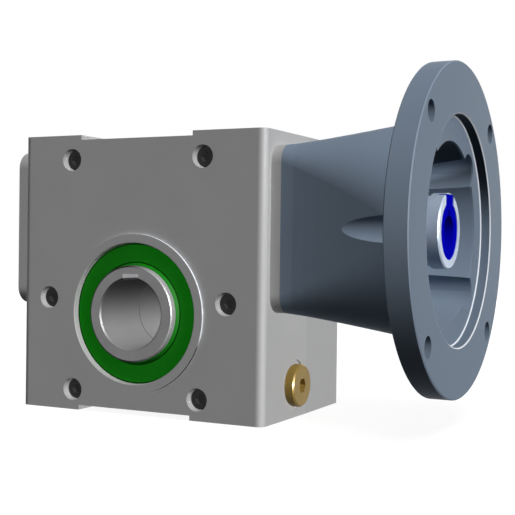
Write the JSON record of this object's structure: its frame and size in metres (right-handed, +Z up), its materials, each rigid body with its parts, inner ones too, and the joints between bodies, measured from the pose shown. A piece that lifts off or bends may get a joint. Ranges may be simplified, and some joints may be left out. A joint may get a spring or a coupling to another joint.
{
  "type": "worm gear reducer",
  "caption": "Right-angle worm gear reducer with a keyed hollow output bore through a box casing and a round motor flange on a bell adaptor.",
  "frame": {"origin": "centre of the hollow output bore, halfway between the casing's front and rear faces", "axes": "+Y along the output bore from the front face to the rear face; +X along the worm towards the motor flange; +Z up, from the output bore towards the worm"},
  "size_m": [0.2391, 0.165, 0.1795],
  "materials": {
    "casing_paint": "smooth light grey casting paint",
    "screw_black": "black oxide",
    "bearing_steel": "polished bearing steel",
    "cap_steel": "grey coated cap",
    "plug_brass": "turned brass",
    "washer_brass": "soft brass",
    "shaft_steel": "ground steel",
    "wheel_bronze": "machined bronze",
    "seal_rubber": "green rubber over a steel ring",
    "worm_steel": "ground hardened steel",
    "bush_plastic": "blue moulded plastic",
    "spring_steel": "dark spring steel",
    "adaptor_paint": "smooth blue grey casting paint",
    "ring_rubber": "black rubber",
    "cage_steel": "pressed steel"
  },
  "bodies": {
    "casing": {"front_casing": "casing_paint", "rear_casing": "casing_paint", "casing_screws": "screw_black", "casing_dowels": "bearing_steel", "worm_end_cap": "cap_steel", "oil_plug": "plug_brass", "oil_plug_washer": "washer_brass", "front_output_seal": "seal_rubber", "rear_output_seal": "seal_rubber", "input_seal": "seal_rubber", "worm_circlip": "spring_steel", "motor_adaptor": "adaptor_paint", "adaptor_o_ring": "ring_rubber", "adaptor_screws": "screw_black", "front_output_outer_race": "bearing_steel", "rear_output_outer_race": "bearing_steel", "worm_far_outer_race": "bearing_steel", "worm_drive_outer_race": "bearing_steel"},
    "output": {"hollow_shaft": "shaft_steel", "worm_wheel": "wheel_bronze", "front_shaft_spacer": "shaft_steel", "rear_shaft_spacer": "shaft_steel", "front_output_inner_race": "bearing_steel", "rear_output_inner_race": "bearing_steel"},
    "worm": {"worm_shaft": "worm_steel", "quill_bush": "bush_plastic", "worm_far_inner_race": "bearing_steel", "worm_drive_inner_race": "bearing_steel"},
    "front_output_ball_ring": {"front_output_cage": "cage_steel", "front_output_balls": "bearing_steel"},
    "rear_output_ball_ring": {"rear_output_cage": "cage_steel", "rear_output_balls": "bearing_steel"},
    "worm_far_ball_ring": {"worm_far_cage": "cage_steel", "worm_far_balls": "bearing_steel"},
    "worm_drive_ball_ring": {"worm_drive_cage": "cage_steel", "worm_drive_balls": "bearing_steel"}
  },
  "joints": [
    {"name": "output_spin", "type": "hinge", "parent": "casing", "child": "output", "pos_m": [0, 0, 0], "axis": [0, 1, 0], "continuous": true},
    {"name": "input_spin", "type": "hinge", "parent": "casing", "child": "worm", "pos_m": [0, 0, 0.04445], "axis": [1, 0, 0], "continuous": true},
    {"name": "front_output_balls_roll", "type": "hinge", "parent": "casing", "child": "front_output_ball_ring", "pos_m": [0, -0.0284, 0], "axis": [0, 1, 0], "continuous": true},
    {"name": "rear_output_balls_roll", "type": "hinge", "parent": "casing", "child": "rear_output_ball_ring", "pos_m": [0, 0.0284, 0], "axis": [0, 1, 0], "continuous": true},
    {"name": "worm_far_balls_roll", "type": "hinge", "parent": "casing", "child": "worm_far_ball_ring", "pos_m": [-0.055, 0, 0.04445], "axis": [1, 0, 0], "continuous": true},
    {"name": "worm_drive_balls_roll", "type": "hinge", "parent": "casing", "child": "worm_drive_ball_ring", "pos_m": [0.063, 0, 0.04445], "axis": [1, 0, 0], "continuous": true}
  ],
  "couplings": [
    {"joint": "input_spin", "follows": "output_spin", "ratio": -30},
    {"joint": "front_output_balls_roll", "follows": "output_spin", "ratio": 0.44754},
    {"joint": "rear_output_balls_roll", "follows": "output_spin", "ratio": 0.44754},
    {"joint": "worm_far_balls_roll", "follows": "output_spin", "ratio": -11.445},
    {"joint": "worm_drive_balls_roll", "follows": "output_spin", "ratio": -12.526}
  ]
}
